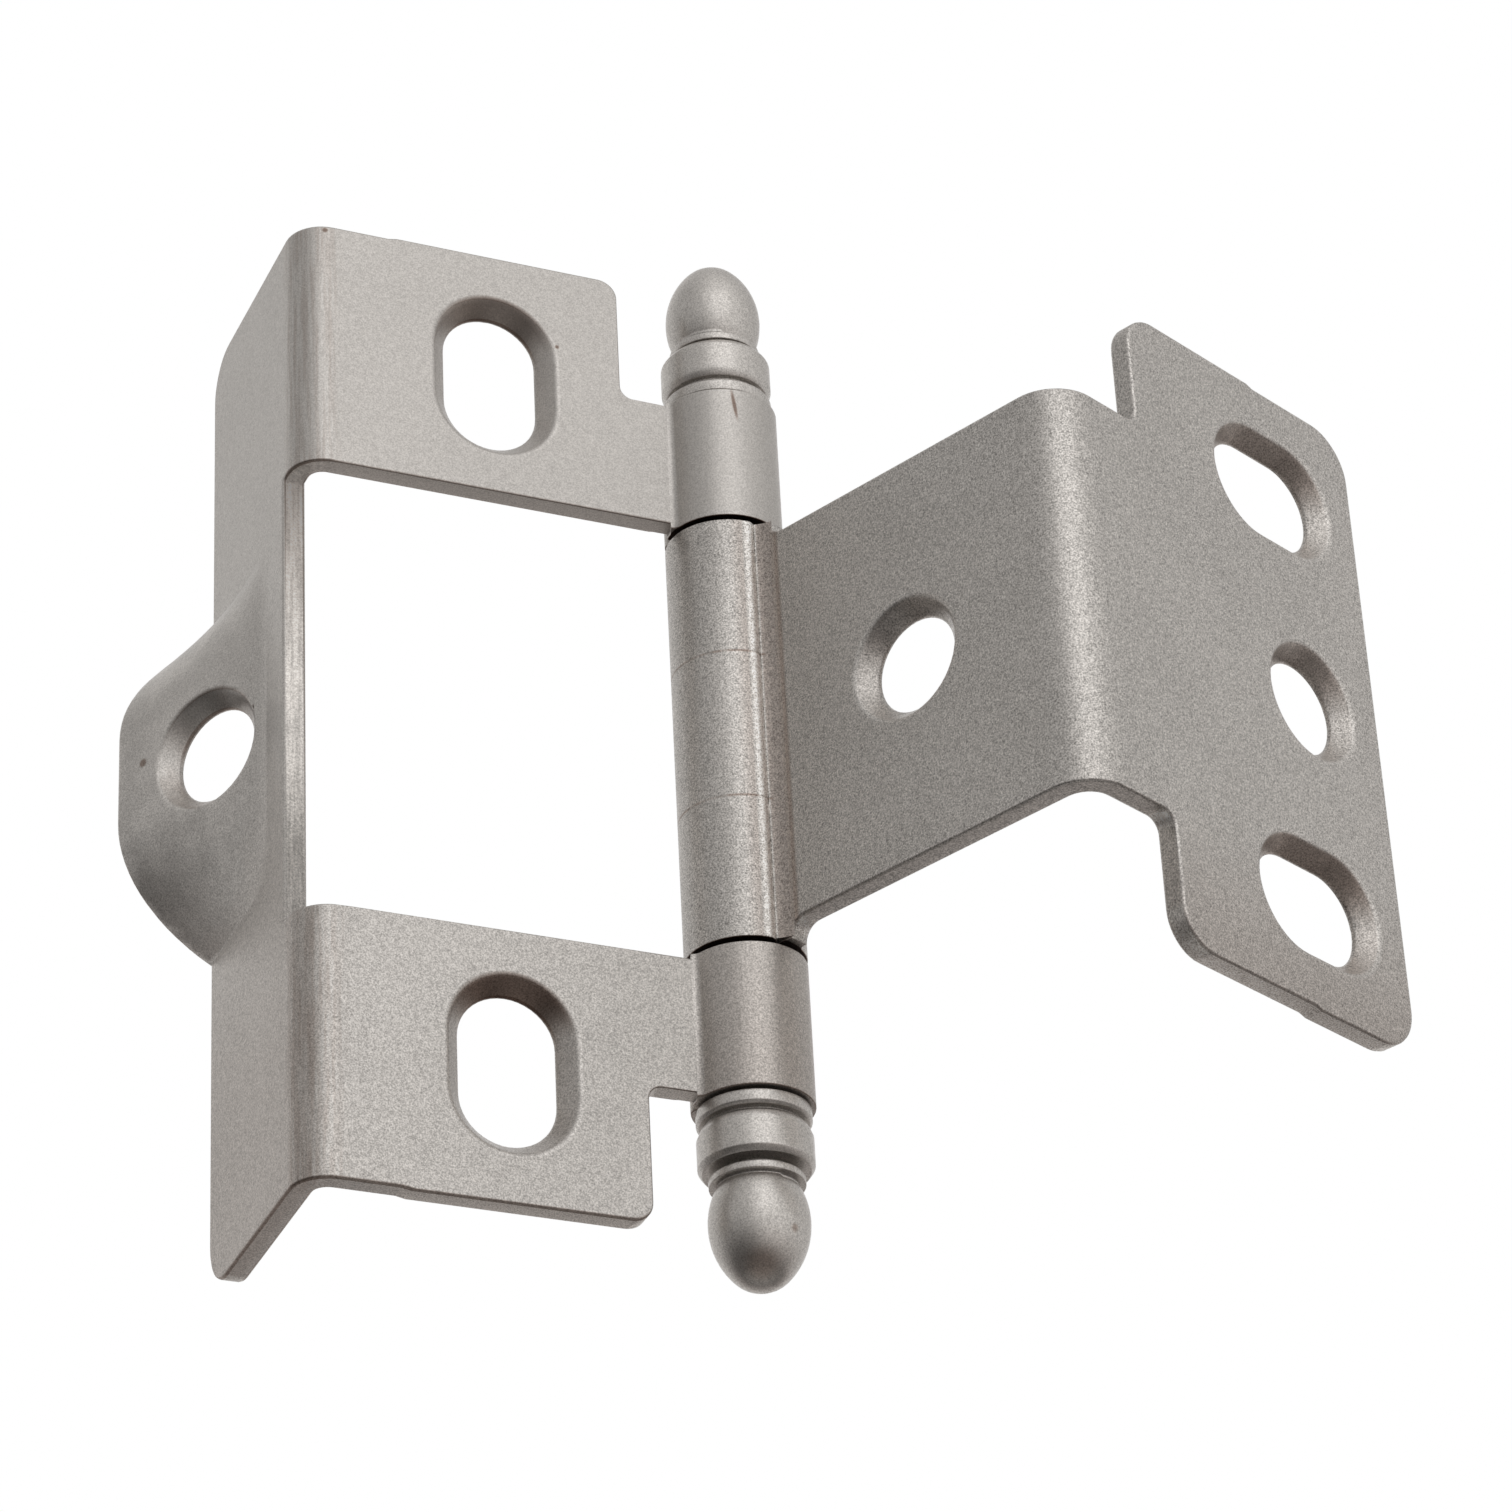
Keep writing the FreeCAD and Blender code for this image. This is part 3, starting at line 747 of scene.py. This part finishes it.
# Each piece's finishes: its pressed or turned faces, its sheared faces, and its rounded edges
frame_finishes = (
    nickel("satin_nickel_frame_leaf", NICKEL, NICKEL_ROUGHNESS, FRAME_MARKS_AND_PAINTED_LIGHT),
    # The sheared and rounded edges' finishes add painted shade and painted light by whether their faces
    # look down
    nickel("satin_nickel_frame_edge", SHEARED_NICKEL, SHEARED_ROUGHNESS, FRAME_MARKS_AND_PAINTED_LIGHT,
           facing_painted_shades=FRAME_CUT_PAINTED_SHADES, streaked=True),
    nickel("satin_nickel_frame_rounded_edge", NICKEL, NICKEL_ROUGHNESS, FRAME_MARKS_AND_PAINTED_LIGHT,
           facing_painted_shades=FRAME_ROUNDED_PAINTED_SHADES),
)
door_finishes = (
    nickel("satin_nickel_door_leaf", NICKEL, NICKEL_ROUGHNESS, DOOR_MARKS_AND_PAINTED_LIGHT, DOOR_SPECKLE),
    nickel("satin_nickel_door_edge", SHEARED_NICKEL, SHEARED_ROUGHNESS, DOOR_MARKS_AND_PAINTED_LIGHT, DOOR_SPECKLE,
           facing_painted_shades=DOOR_CUT_PAINTED_SHADES),
    nickel("satin_nickel_door_rounded_edge", NICKEL, NICKEL_ROUGHNESS, DOOR_MARKS_AND_PAINTED_LIGHT, DOOR_SPECKLE,
           facing_painted_shades=DOOR_ROUNDED_PAINTED_SHADES),
)
turned_nickel = nickel("satin_nickel_turned", TURNED_NICKEL, TURNED_ROUGHNESS, FINIAL_MARKS, FINIAL_SPECKLE)
finial_finishes = (turned_nickel,) * FINISHES_EACH
pin_steel = nickel("pin_steel", PIN_STEEL, NICKEL_ROUGHNESS, FINIAL_MARKS, PIN_SPECKLE)
pin_finishes = (pin_steel,) * FINISHES_EACH

# Pieces that stand for the CAD nodes
for node, name, body, edge_round, slot, finishes in (
    ("frame_leaf", "frame_leaf_pressed", "frame_side", LEAF_EDGE, "frame_leaf_nickel", frame_finishes),
    ("door_leaf", "door_leaf_pressed", "door_side", LEAF_EDGE, "door_leaf_nickel", door_finishes),
    ("upper_finial", "upper_finial_turned", "frame_side", FINIAL_EDGE, "finial_nickel", finial_finishes),
    ("lower_finial", "lower_finial_turned", "frame_side", FINIAL_EDGE, "finial_nickel", finial_finishes),
    ("hinge_pin", "hinge_pin_turned", "frame_side", PIN_EDGE, "pin_steel", pin_finishes),
):
    piece = rounded_copy(node, name, edge_round)
    for finish in finishes:
        piece.data.materials.append(finish)
    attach(piece, body)


def seam_plating():
    """The plating that has filled the corner between the roll's free end and the door leaf's plate."""
    bm = bmesh.new()
    low_end = Vector((*BARREL_PLACE, -SEAM_FILL_HALF_LENGTH * MM))
    corners = []
    for out, rise in SEAM_FILL:
        across = Vector(DOOR_WAY) * out + Vector(DOOR_SCREW_WAY) * rise
        corners.append(bm.verts.new(low_end + across * MM))
    grown = bmesh.ops.extrude_face_region(bm, geom=[bm.faces.new(corners)])
    moved = [item for item in grown["geom"] if isinstance(item, bmesh.types.BMVert)]
    bmesh.ops.translate(bm, verts=moved, vec=(0, 0, 2 * SEAM_FILL_HALF_LENGTH * MM))
    bmesh.ops.recalc_face_normals(bm, faces=bm.faces)
    for edge in bm.edges:
        edge.smooth = edge.calc_face_angle() < SHARP
    plating = new_object("door_seam_plating", bm)
    plating.data.materials.append(door_finishes[0])
    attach(plating, "door_side")


seam_plating()


def studio_world():
    """A soft studio: bright in front, quieter at the sides, dim far below, white behind the hinge."""
    world = bpy.data.worlds.new("soft_studio")
    scene.world = world
    world.use_nodes = True
    made = Nodes(world.node_tree)
    towards = made.add("ShaderNodeTexCoord").outputs["Generated"]
    parts = made.add("ShaderNodeSeparateXYZ")
    made.join(towards, parts, 0)
    x, y, z = parts.outputs
    around = made.add("ShaderNodeVectorMath", operation="NORMALIZE")
    made.join(made.vector("MULTIPLY", towards, (1.0, 1.0, 0.0))["Vector"], around, 0)
    left = made.ease(z, *LEFT_RISE, LEFT_BELOW_LEVEL, LEFT_LEVEL)
    to_right = made.product(made.ease(x, *LEFT_TO_RIGHT), made.math("SUBTRACT", RIGHT_LEVEL, left))
    sides = made.math("ADD", left, to_right)
    towards_window = made.vector("DOT_PRODUCT", around.outputs[0], WINDOW_DIRECTION)["Value"]
    window = made.ease(towards_window, *WINDOW_SPREAD, 0.0, WINDOW_LEVEL)
    back = made.ease(y, *BACK_SPREAD, 0.0, BACK_LEVEL)
    room = made.math("ADD", made.math("ADD", sides, window), back)
    lit_room = made.product(room, made.ease(z, *BELOW_TO_LEVEL, BELOW_SHARE, 1.0))
    grey = made.add("ShaderNodeCombineColor")
    for channel, (low_warmth, warmth) in enumerate(zip(LOW_ROOM_WARMTH, ROOM_WARMTH)):
        made.join(made.product(lit_room, made.ease(z, *WARMTH_RISE, low_warmth, warmth)), grey, channel)
    behind = made.vector("DOT_PRODUCT", towards, BACKDROP_DIRECTION)["Value"]
    shown = made.mix("RGBA", made.ease(behind, *BACKDROP_SPREAD), grey.outputs[0], WHITE)
    background = made.add("ShaderNodeBackground")
    made.join(shown, background, "Color")
    made.join(background.outputs[0], made.add("ShaderNodeOutputWorld"), "Surface")


studio_world()


def pale_floor():
    """A plain pale floor that fades out into the room with distance."""
    bm = bmesh.new()
    bmesh.ops.create_grid(bm, x_segments=1, y_segments=1, size=FLOOR_REACH)
    bmesh.ops.translate(bm, verts=bm.verts, vec=(0, 0, FLOOR_HEIGHT))
    floor = new_object("pale_floor", bm)
    paper = bpy.data.materials.new("pale_floor_paper")
    paper.use_nodes = True
    made = Nodes(paper.node_tree)
    place = made.add("ShaderNodeTexCoord").outputs["Object"]
    away = made.add("ShaderNodeVectorMath", operation="LENGTH")
    made.join(made.vector("MULTIPLY", place, (1.0, 1.0, 0.0))["Vector"], away, 0)
    shader = made.add("ShaderNodeBsdfPrincipled")
    made.join((*FLOOR_COLOUR, 1.0), shader, "Base Color")
    made.join(FLOOR_ROUGHNESS, shader, "Roughness")
    made.join(made.ease(away.outputs["Value"], *FLOOR_FADE, 1.0, 0.0), shader, "Alpha")
    made.join(shader.outputs[0], made.add("ShaderNodeOutputMaterial"), "Surface")
    floor.data.materials.append(paper)


pale_floor()


def key_softbox():
    """A square lamp, high in front, that doesn't show to the camera."""
    light = bpy.data.lights.new("key_softbox", "AREA")
    light.shape = "SQUARE"
    light.size = KEY_SIZE
    light.energy = KEY_POWER
    light.spread = KEY_SPREAD
    lamp = bpy.data.objects.new("key_softbox", light)
    lamp.location = KEY_PLACE
    lamp.rotation_euler = (KEY_AIM - KEY_PLACE).to_track_quat("-Z", "Y").to_euler()
    lamp.visible_camera = False
    scene.collection.objects.link(lamp)


key_softbox()


def photo_camera():
    """The camera at the photograph's viewing angle."""
    lens = bpy.data.cameras.new("photo_camera")
    lens.lens = CAMERA_LENS
    lens.sensor_width = CAMERA_SENSOR
    lens.clip_start = CAMERA_NEAREST
    camera = bpy.data.objects.new("photo_camera", lens)
    camera.location = CAMERA_PLACE
    camera.rotation_euler = CAMERA_TURN
    scene.collection.objects.link(camera)
    return camera


scene.camera = photo_camera()
scene.view_settings.view_transform = "Standard"
